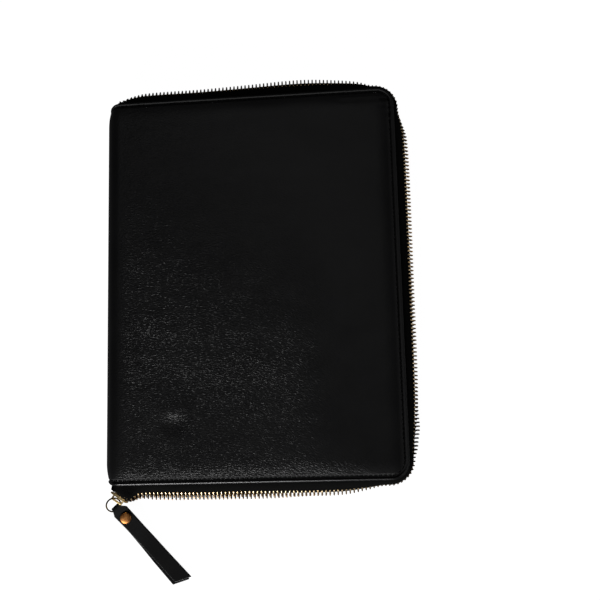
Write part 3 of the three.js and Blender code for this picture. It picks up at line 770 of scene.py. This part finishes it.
def makeStitches(outer):
    groove = cover["hemSteps"].index(stitch["hemStep"])
    facing = np.cross(np.gradient(outer, axis=0), np.gradient(outer, axis=1))
    facing /= np.maximum(np.linalg.norm(facing, axis=2, keepdims=True), 1e-9)
    line, normal = ringOf(outer, groove), ringOf(facing, groove)
    if normal[0][2] < 0:
        normal = -normal
    lengths = runLengths(line)
    count = int(lengths[-1] / stitch["pitch"])
    at = (np.arange(count) + 0.5) * lengths[-1] / count
    ahead = sampled(line, lengths, at + stitch["look"]) - sampled(line, lengths, at - stitch["look"])
    lean = math.radians(stitch["turn"])
    places = []
    for centre, way, out in zip(sampled(line, lengths, at), ahead, sampled(normal, lengths, at)):
        way, out = Vector(way).normalized(), Vector(out).normalized()
        side = out.cross(way).normalized()
        out = way.cross(side)
        place = (Matrix.Rotation(lean, 3, out) @ Matrix((way, side, out)).transposed()).to_4x4()
        place.translation = (Vector(centre) + out * stitch["proud"]) * mm
        places.append(place)
    piece = scattered("hemStitches", stitchUnit(), places)
    smoothed(piece, 60)
    settle(piece, "leather", None, thread)


makeStitches(outer)


# zip: how each tape leaves its cover, station by station round head, open side and foot
# (edge, at, lead and slope to the knee, fall and droop to the teeth)
tape = {"fromX": -94, "thick": 0.8, "seat": 0.3, "tuck": 5, "stations": 380, "tail": 2.3}
slider = {
    "x": -89.1,
    "y": -133.6,
    "z": 10.1,
    "turn": math.radians(-35),
    "half": 6,
    "tailHalf": 4.2,
    "mouthHalf": 5.6,
    "kneeClear": 0.8,
    "bevel": 0.22,
}
# legs and head are drawn out step by step: length, then the change of width and thickness
tooth = {
    "pitch": 2.55,
    "gap": 0.35,
    "reach": 2.7,
    "wide": 0.95,
    "half": 0.98,
    "slot": 0.5,
    "neck": (0.1, 0.8),
    "leg": [(1, 1, 1.08), (0.8, 1, 1), (0.4, 0.75, 0.82)],
    "head": [(0.5, 0.94, 0.78), (0.7, 1, 1.22), (0.7, 0.94, 0.96), (0.35, 0.62, 0.6)],
    "endClear": 0.4,
    "bevel": 0.26,
    "bevelFrom": 0.2,
    "look": 0.5,
}
chain = [(-6.4, 0.15), (-3.6, 0.15), (-1, 0.15), (3, 1.3), (6.6, 1.6)]  # along the slider, half the gap
frontLie = [
    ("head", -91, 2.2, 40, 1.1, 80), ("head", -86, 2.8, 30, 2.9, 60), ("head", -79, 3, 24, 4.6, 48),
    ("head", -69, 3, 19, 4.6, 40), ("head", -35, 3, 18, 4.5, 37), ("head", 0, 3, 15, 5.1, 30),
    ("head", 33, 3, 10, 5.1, 20), ("head", 60, 3, 18, 5.1, 37), ("head", 73, 3, 25, 4.9, 50),
    ("head", 83, 3, 35, 4.5, 72), ("side", 117, 3, 46, 4.2, 90), ("side", 106, 3, 34, 4.6, 68),
    ("side", 95, 3, 22, 4.4, 46), ("side", 67, 3, 19, 4.3, 39), ("side", 30, 3, 20, 4.3, 41),
    ("side", -10, 3, 22, 4.3, 45), ("side", -45, 3, 23, 4.3, 47), ("side", -78, 3, 27, 4.4, 54),
    ("side", -98, 3, 36, 4.6, 73), ("side", -112, 3, 45, 4.2, 90), ("foot", 82, 3, 46, 4.2, 92),
    ("foot", 69, 3, 36, 4.6, 72), ("foot", 53, 3, 28, 5, 50), ("foot", 28, 3, 25, 5, 46),
    ("foot", -6, 3, 21, 4.3, 45), ("foot", -33, 3, 19, 4.3, 41), ("foot", -60, 3, 20, 3.8, 45),
    ("foot", -70, 3.2, 22, 3.6, 50), ("foot", -77, 4.3, 14, 2.7, 54)]
backLie = [
    ("head", -91, 2.2, 40, 0.8, 80), ("head", -86, 2.8, 24, 2, 50), ("head", -77, 3, 14, 2.2, 30),
    ("head", -66, 3, 8, 1.6, 15), ("head", 42, 3, 6, 1.5, 11), ("head", 55, 3, 8, 1.6, 15),
    ("head", 68, 3, 16, 2, 34), ("head", 83, 3, 34, 2.4, 70), ("side", 117, 3, 46, 2.4, 90),
    ("side", 104, 3, 22, 2.1, 45), ("side", 88, 3, 9, 1.7, 18), ("side", 78, 3, 6, 1.4, 11),
    ("side", -86, 3, 6, 2.2, 11), ("side", -96, 3, 9, 2.7, 18), ("side", -105, 3, 16, 1.8, 34),
    ("side", -110, 3, 26, 2.2, 53), ("side", -115, 3, 36, 2.4, 73), ("foot", 83, 3, 46, 2.4, 92),
    ("foot", 68, 3, 32, 2.2, 64), ("foot", 50, 3, 17, 2.2, 34), ("foot", 25, 3, 8, 2.9, 15),
    ("foot", 10, 3, 6, 3.6, 10), ("foot", -52, 3, 6, 3.6, 10), ("foot", -67, 3.1, 9, 3.2, 20),
    ("foot", -77, 4.3, 10, 2.1, 44)]
# front teeth: painted highlight on the legs, painted shade on the heads; back teeth: one brass darkened as
# painted shade
zipSides = [
    {"label": "Front", "side": 1, "lie": frontLie, "legs": "legBrassPaintedHighlight", "heads": "headBrassPaintedShade"},
    {"label": "Back", "side": -1, "lie": backLie, "legs": "backBrassPaintedShade", "heads": "backBrassPaintedShade"},
]
cornerX, cornerY = cover["openX"] - cover["corner"], cover["openHalf"] - cover["corner"]
cornerArc = cover["corner"] * math.pi / 2
headRun, sideRun = cornerX - tape["fromX"], 2 * cornerY


def tapeLevel(side, x):  # under its cover, following the rounded inside near the spine
    clear = tape["seat"] + tape["thick"] / 2
    radius = spineRadius - cover["wall"] - clear
    into = max(0, spineMid - x)
    bent = radius - math.sqrt(max(0, radius**2 - into**2))
    flat = frontHeight(max(x, spineMid)) - cover["wall"] - clear if side > 0 else cover["wall"] + clear
    return flat - side * bent


def sliderLie(side):  # the tapes stand upright through the slider
    rows = []
    for along, halfGap in reversed(chain):
        x = slider["x"] + along * math.cos(slider["turn"])
        y = slider["y"] + along * math.sin(slider["turn"])
        out = -halfHeight(x) - y
        share = float(eased(along, -slider["half"], slider["half"]))
        knee = slider["tailHalf"] + (slider["mouthHalf"] - slider["tailHalf"]) * share + slider["kneeClear"]
        rise = abs(tapeLevel(side, x) - slider["z"]) - knee
        fall = knee - halfGap - tooth["gap"] - tooth["reach"]
        rows.append(("foot", x, math.hypot(out, rise), math.degrees(math.atan2(rise, out)), fall, 90))
    return rows


def runAt(edge, value):  # distance along the cover's edge, from the head of the spine
    if edge == "head":
        return value - tape["fromX"]
    if edge == "side":
        return headRun + cornerArc + cornerY - value
    return headRun + 2 * cornerArc + sideRun + cornerX - value


def cornerPoint(end, angle):
    outX, outY = math.cos(angle), math.sin(angle)
    return cornerX + cover["corner"] * outX, end * cornerY + cover["corner"] * outY, outX, outY


def runPoint(s):  # x, y on the cover's edge and the way out
    if s <= headRun:
        return tape["fromX"] + s, halfHeight(tape["fromX"] + s), 0, 1
    s -= headRun
    if s < cornerArc:
        return cornerPoint(1, math.pi / 2 - s / cover["corner"])
    s -= cornerArc
    if s <= sideRun:
        return cover["openX"], cornerY - s, 1, 0
    s -= sideRun
    if s < cornerArc:
        return cornerPoint(-1, -s / cover["corner"])
    x = cornerX - (s - cornerArc)
    return x, -halfHeight(x), 0, -1


def stationAt(s, places, values, slope):  # a smooth course through the stations
    i = min(max(int(np.searchsorted(places, s)) - 1, 0), len(places) - 2)
    gap = places[i + 1] - places[i]
    t = (s - places[i]) / gap
    leaving = (2 * t**3 - 3 * t**2 + 1) * values[i] + (t**3 - 2 * t**2 + t) * gap * slope[i]
    arriving = (3 * t**2 - 2 * t**3) * values[i + 1] + (t**3 - t**2) * gap * slope[i + 1]
    return leaving + arriving


def dropped(outX, outY, side, degrees):  # the way out, turned down on the front and up on the back
    level, down = math.cos(math.radians(degrees)), math.sin(math.radians(degrees))
    return np.array([outX * level, outY * level, -side * down])


def tapeLines(side, lie):
    rows = lie + sliderLie(side)
    places = np.array([runAt(row[0], row[1]) for row in rows])
    values = np.array([row[2:] for row in rows], dtype=float)
    slope = np.zeros_like(values)
    slope[1:-1] = (values[2:] - values[:-2]) / (places[2:] - places[:-2])[:, None]
    stops = np.linspace(places[0], places[-1], tape["stations"])
    lines, headings = [], []
    for s in stops:
        lead, rise, fall, droop = stationAt(s, places, values, slope)
        x, y, outX, outY = runPoint(s)
        seam = np.array([x, y, tapeLevel(side, x)])
        tuckX = x - outX * tape["tuck"]
        tuck = np.array([tuckX, y - outY * tape["tuck"], tapeLevel(side, tuckX)])
        knee = seam + lead * dropped(outX, outY, side, rise)
        heading = dropped(outX, outY, side, droop)
        lines.append([tuck, seam, knee, knee + fall * heading])
        headings.append(heading)
    return np.array(lines), np.array(headings), stops


def rounded(lines, times):  # cuts the corners of each cross line, keeping its ends
    for turn in range(times):
        first, last = lines[:, :1], lines[:, -1:]
        near = 0.75 * lines[:, :-1] + 0.25 * lines[:, 1:]
        far = 0.25 * lines[:, :-1] + 0.75 * lines[:, 1:]
        inside = np.stack([near, far], 2).reshape(len(lines), -1, 3)
        lines = np.concatenate([first, inside[:, 1:-1], last], 1)
    return lines


def makeTape(name, node, lines, stops):
    points = rounded(lines, 3)
    piece, row, column = gridPiece(name, points)
    across = np.array([runLengths(line) for line in points])
    layUv(piece, np.stack([stops[row], across[row, column]], 1))
    applied(piece, "SOLIDIFY", thickness=tape["thick"] * mm, offset=0)
    normalsOut(piece)
    smoothed(piece, 50)
    settle(piece, "tape", node, cloth)


def drawOut(steps, way):  # extrudes the picked faces step by step along X
    for step, wider, thicker in steps:
        bpy.ops.mesh.extrude_region_move(TRANSFORM_OT_translate={"value": (way * step * mm, 0, 0)})
        bpy.ops.transform.resize(value=(1, wider, thicker))


def toothUnit():
    deselect()
    bpy.ops.mesh.primitive_cube_add(size=1)
    unit = named("toothUnit")
    root, neck = tooth["neck"]
    slot = tooth["slot"] * mm
    unit.scale = ((neck - root) * mm, tooth["wide"] * mm, 2 * tooth["half"] * mm)
    unit.location = ((neck + root) / 2 * mm, 0, 0)
    bpy.ops.object.transform_apply(location=True, rotation=True, scale=True)
    for z in (slot, -slot):  # two legs straddle the tape
        editAll(unit)
        bpy.ops.mesh.bisect(plane_co=(0, 0, z), plane_no=(0, 0, 1))
        bpy.ops.object.mode_set(mode="OBJECT")
    pickFaces(unit, lambda c, n: n.x < -0.9 and abs(c.z) > slot)
    drawOut(tooth["leg"], -1)
    pickFaces(unit, lambda c, n: n.x > 0.9)
    drawOut(tooth["head"], 1)
    shortest, flank = tooth["bevelFrom"] * mm, slot * 1.1
    pickEdges(unit, lambda a, b: abs(a.x - b.x) > shortest and min(abs(a.z), abs(b.z)) > flank)
    bpy.ops.mesh.bevel(offset=tooth["bevel"] * mm, segments=1, affect="EDGES")
    bpy.ops.object.mode_set(mode="OBJECT")
    # legs get the painted-highlight brass, heads past the neck root the painted-shade brass
    for face in unit.data.polygons:
        face.material_index = int(face.center.x > root * mm)
    return unit


def makeTeeth(name, node, lines, headings, legs, heads):
    edge = lines[:, 3]
    lengths = runLengths(edge)
    count = int((lengths[-1] - tooth["endClear"]) / tooth["pitch"])
    places = []
    for k in range(count):
        s = (k + 0.5) * tooth["pitch"]
        ahead = sampled(edge, lengths, s + tooth["look"]) - sampled(edge, lengths, s - tooth["look"])
        reach = Vector(sampled(headings, lengths, s)).normalized()
        thick = Vector(ahead).normalized().cross(reach).normalized()
        place = Matrix((reach, thick.cross(reach), thick)).transposed().to_4x4()
        place.translation = Vector(sampled(edge, lengths, s)) * mm
        places.append(place)
    piece = scattered(name, toothUnit(), places)
    smoothed(piece, 40)
    settle(piece, "brass", node, legs, heads)


for half in zipSides:
    label, legs, heads = half["label"], metal[half["legs"]], metal[half["heads"]]
    lines, headings, stops = tapeLines(half["side"], half["lie"])
    makeTape("tape" + label, "zip_tape_" + label.lower(), lines, stops)
    toothed = stops <= stops[-1] - tape["tail"]
    makeTeeth("teeth" + label, "zip_teeth_" + label.lower(), lines[toothed], headings[toothed], legs, heads)


# slider: the casting's edges broken
def makeSlider():
    piece = bpy.data.objects.new("slider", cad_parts["zip_slider"].data.copy())
    bpy.context.collection.objects.link(piece)
    piece.data.materials.clear()
    workOn(piece)
    bpy.ops.mesh.customdata_custom_splitnormals_clear()
    editAll(piece)
    bpy.ops.mesh.remove_doubles(threshold=1e-6)
    bpy.ops.mesh.dissolve_limited(angle_limit=math.radians(1))
    bpy.ops.object.mode_set(mode="OBJECT")
    bevelled(piece, slider["bevel"], 30)
    smoothed(piece, 40)
    settle(piece, "brass", "zip_slider", metal["sliderBrass"])


makeSlider()


# pull: ring through the bridge, folded strap round the ring, rivet through both plies
# (strap lines run from the end of the lower ply round the loop to the end of the upper one)
strap = {
    "rivet": (-86.9, -148.2),
    "rivetAt": 7.7,
    "turn": math.radians(-48.1),
    "ply": 1.2,
    "lower": [(63.6, 0.6), (34, 0.6), (24, 1.5), (14, 3.4), (4, 5.5), (1.5, 5.95)],
    "upper": [(2.6, 7.85), (4.4, 6.9), (14, 4.9), (24, 2.95), (34, 2.05), (61.8, 2.05)],
    "loop": {"along": 0.15, "high": 7.5, "halfLong": 2.2, "halfHigh": 1.5, "tilt": math.radians(-32)},
    "loopSteps": 13,
    "steps": 220,
    "edgeAt": (-0.5, 2.6, 16, 40, 63.6),
    "left": (-2.7, -4.7, -4.8, -6.1, -6.5),
    "right": (2.7, 5.4, 5.1, 4.4, 3.6),
    "leftUpper": (-2.7, -4.7, -4.5, -4.4, -4.3),
    "rightUpper": (2.7, 5.4, 5.2, 5.2, 5.7),
    "end": ((-6.4, 3.2), (59.4, 63.9)),
    "endUpper": ((-4.2, 5.7), (59.2, 63.9)),
    "endFrom": 40,
    "across": 12,
    "edgeRound": 0.26,
}
ring = {
    "radius": 4.6,
    "wire": 0.5,
    "lean": math.radians(32),
    "hole": math.radians(10),
    "standOff": 3.4,
    "around": 72,
    "section": 14,
    "jointAt": -77.5,
    "jointHalf": 2.6,
}
# radius and height, from the middle of the back up and from the cap's foot to its top
rivet = {
    "back": [(1.9, -0.9), (2.35, -0.9), (2.65, -0.7), (2.7, -0.4), (2.7, 0)],
    "cap": [(3.6, 0), (3.6, 0.36), (3.44, 0.64), (3.05, 0.9), (2.4, 1.1), (1.5, 1.24), (0.6, 1.3)],
    "shank": 1.2,
    "stand": 0.45,
    "around": 40,
}
strapAlong = Vector((math.cos(strap["turn"]), math.sin(strap["turn"]), 0))
strapAcross = Vector((-strapAlong.y, strapAlong.x, 0))
strapStart = Vector((*strap["rivet"], 0)) - strap["rivetAt"] * strapAlong


def makeRing():
    chainWay = Vector((math.cos(slider["turn"]), math.sin(slider["turn"]), 0))
    out = chainWay.cross(overhead)
    hole = Vector((slider["x"], slider["y"], slider["z"])) + ring["standOff"] * out
    level = -strapAcross
    steep = math.sin(ring["lean"]) * overhead - math.cos(ring["lean"]) * strapAlong
    toMiddle = math.cos(ring["hole"]) * level - math.sin(ring["hole"]) * steep
    place = Matrix((level, steep, level.cross(steep))).transposed().to_4x4()
    place.translation = (hole + ring["radius"] * toMiddle) * mm
    deselect()
    bpy.ops.mesh.primitive_torus_add(
        major_radius=ring["radius"] * mm, minor_radius=ring["wire"] * mm,
        major_segments=ring["around"], minor_segments=ring["section"])
    piece = named("ring")

    def inJoint(centre, normal):  # where the wire's ends meet
        return abs(math.degrees(math.atan2(centre.y, centre.x)) - ring["jointAt"]) < ring["jointHalf"]

    pickFaces(piece, inJoint)
    bpy.ops.mesh.delete(type="FACE")
    bpy.ops.mesh.select_mode(type="EDGE")
    bpy.ops.mesh.select_non_manifold()
    bpy.ops.mesh.edge_face_add()
    bpy.ops.object.mode_set(mode="OBJECT")
    piece.data.transform(place)
    smoothed(piece, 40)
    settle(piece, "brass", "pull_ring", metal["ringBrass"])


def strapPath():
    loop = strap["loop"]
    middle = np.array([loop["along"], loop["high"]])
    turn = np.linspace(-0.5 * math.pi, -1.5 * math.pi, strap["loopSteps"])
    flat = np.stack([loop["halfLong"] * np.cos(turn), loop["halfHigh"] * np.sin(turn)], 1)
    c, s = math.cos(loop["tilt"]), math.sin(loop["tilt"])
    bent = flat @ np.array([[c, s], [-s, c]]) + middle
    line = np.concatenate([strap["lower"], bent, strap["upper"]])
    line = np.concatenate([line, np.zeros((len(line), 1))], 1)
    soft = rounded(line[None], 3)[0][:, :2]
    lengths = runLengths(soft)
    return sampled(soft, lengths, np.linspace(0, lengths[-1], strap["steps"]))


def makeStrap():
    path = strapPath()
    top = int(np.argmin(path[:, 0]))
    rows = []
    for i, (along, high) in enumerate(path):
        ply = "Upper" if i > top else ""
        last = path[-1 if i > top else 0][0]
        left = np.interp(along, strap["edgeAt"], strap["left" + ply])
        right = np.interp(along, strap["edgeAt"], strap["right" + ply])
        across = np.linspace(left, right, strap["across"])
        share = max(0, (along - strap["endFrom"]) / (last - strap["endFrom"]))
        reach = along + share * (np.interp(across, *strap["end" + ply]) - last)
        level = strapStart + overhead * high
        rows.append([level + strapAlong * a + strapAcross * b for a, b in zip(reach, across)])
    piece = gridPiece("strap", np.array(rows))[0]
    normalsOut(piece)
    applied(piece, "SOLIDIFY", thickness=strap["ply"] * mm, offset=0, use_even_offset=True)
    normalsOut(piece)
    piece.data.materials.append(strapLeather.material)
    piece.data.materials.append(edgePaint.material)
    bevelled(piece, strap["edgeRound"], 60, material=1)
    smoothed(piece, 45)
    settle(piece, "strap_leather", "pull_strap")


def rivetPlace():  # upright on the slope of the strap, halfway between the plies
    low = np.interp(strap["rivetAt"], *zip(*strap["lower"][::-1]))
    high = np.interp(strap["rivetAt"], *zip(*strap["upper"]))
    (farAlong, farHigh), (nearAlong, nearHigh) = strap["lower"][3:5]
    tilt = math.atan2(farHigh - nearHigh, farAlong - nearAlong)
    upright = overhead * math.cos(tilt) - strapAlong * math.sin(tilt)
    ahead = strapAlong * math.cos(tilt) + overhead * math.sin(tilt)
    place = Matrix((ahead, upright.cross(ahead), upright)).transposed().to_4x4()
    place.translation = (strapStart + strapAlong * strap["rivetAt"] + overhead * ((low + high) / 2)) * mm
    return place


def makeRivet():
    half = strap["ply"] + rivet["stand"]
    profile = [(r, h - half) for r, h in rivet["back"]]
    profile += [(rivet["shank"], -half), (rivet["shank"], half)]
    profile += [(r, h + half) for r, h in rivet["cap"]]
    firstRadius, firstHigh = profile[0]
    deselect()
    bpy.ops.mesh.primitive_circle_add(
        vertices=rivet["around"], radius=firstRadius * mm, fill_type="NGON",
        location=(0, 0, firstHigh * mm))
    piece = named("rivet")
    bpy.ops.object.transform_apply(location=True, rotation=True, scale=True)
    editAll(piece)
    for (r0, h0), (r1, h1) in zip(profile, profile[1:]):  # turned up ring by ring
        bpy.ops.mesh.extrude_region_move(TRANSFORM_OT_translate={"value": (0, 0, (h1 - h0) * mm)})
        bpy.ops.transform.resize(value=(r1 / r0, r1 / r0, 1))
    bpy.ops.object.mode_set(mode="OBJECT")
    normalsOut(piece)
    piece.data.transform(rivetPlace())
    smoothed(piece, 50)
    settle(piece, "copper", "pull_rivet", metal["copper"])


makeRing()
makeStrap()
makeRivet()


# stage: pale floor that reads as plain white, low strip of light from the foot, dim room
studio = {
    "floorSize": 6,
    "floorDrop": 0.0004,
    "floorDark": (0.19, 0.19, 0.19),
    "floorLight": (0.21, 0.21, 0.21),
    "glow": 0.985,
    "room": (0.03, 0.03, 0.032),
}
lamps = {
    "key": {"place": (-0.28, -0.85, 0.34), "aim": (-0.02, -0.05, 0.02), "size": (0.5, 0.1), "power": 9.5},
    "fill": {"place": (-0.22, 0.5, 1.6), "aim": (0, 0, 0), "size": (0.8, 0.8), "power": 1.1},
    "side": {"place": (1, 0.05, 0.14), "aim": (0.1, 0, 0.02), "size": (0.9, 0.2), "power": 1.4},
    "head": {"place": (0.05, 1.05, 0.24), "aim": (0, 0.13, 0.02), "size": (0.9, 0.3), "power": 0.1},
}


def addFloor():
    deselect()
    bpy.ops.mesh.primitive_plane_add(size=studio["floorSize"], location=(0, 0, -studio["floorDrop"]))
    floor = named("floor")
    finish = Finish("paleFloor")
    paper = finish.cloud(finish.place(), 40, 2)
    seen = finish.node("ShaderNodeLightPath", out="Is Camera Ray")  # white to the eye, no glare elsewhere
    finish.surface(
        Base_Color=finish.mixed(paper, studio["floorDark"], studio["floorLight"]),
        Roughness=0.9,
        Emission_Color=finish.mixed(seen, (0, 0, 0), (1, 1, 1)),
        Emission_Strength=studio["glow"],
        Specular_IOR_Level=0.1,
    )
    floor.data.materials.append(finish.material)


def addLamp(name, place, aim, size, power):
    turn = (Vector(aim) - Vector(place)).to_track_quat("-Z", "Y").to_euler()
    bpy.ops.object.light_add(type="AREA", location=place, rotation=turn)
    lamp = bpy.context.object
    lamp.name = name
    lamp.data.shape = "RECTANGLE"
    lamp.data.size, lamp.data.size_y = size
    lamp.data.energy = power


def addRoom():  # white behind the object, dim in what it reflects
    world = bpy.data.worlds.new("room")
    world.use_nodes = True
    tree = world.node_tree
    dim = tree.nodes["Background"]
    dim.inputs["Color"].default_value = (*studio["room"], 1)
    pale = tree.nodes.new("ShaderNodeBackground")
    pale.inputs["Color"].default_value = (1, 1, 1, 1)
    seen = tree.nodes.new("ShaderNodeLightPath")
    blend = tree.nodes.new("ShaderNodeMixShader")
    tree.links.new(seen.outputs["Is Camera Ray"], blend.inputs["Fac"])
    tree.links.new(dim.outputs["Background"], blend.inputs[1])
    tree.links.new(pale.outputs["Background"], blend.inputs[2])
    tree.links.new(blend.outputs["Shader"], tree.nodes["World Output"].inputs["Surface"])
    scene = bpy.context.scene
    scene.world = world
    scene.view_settings.view_transform = "Standard"


addFloor()
for name, lamp in lamps.items():
    addLamp(name, **lamp)
addRoom()
print("stage set")
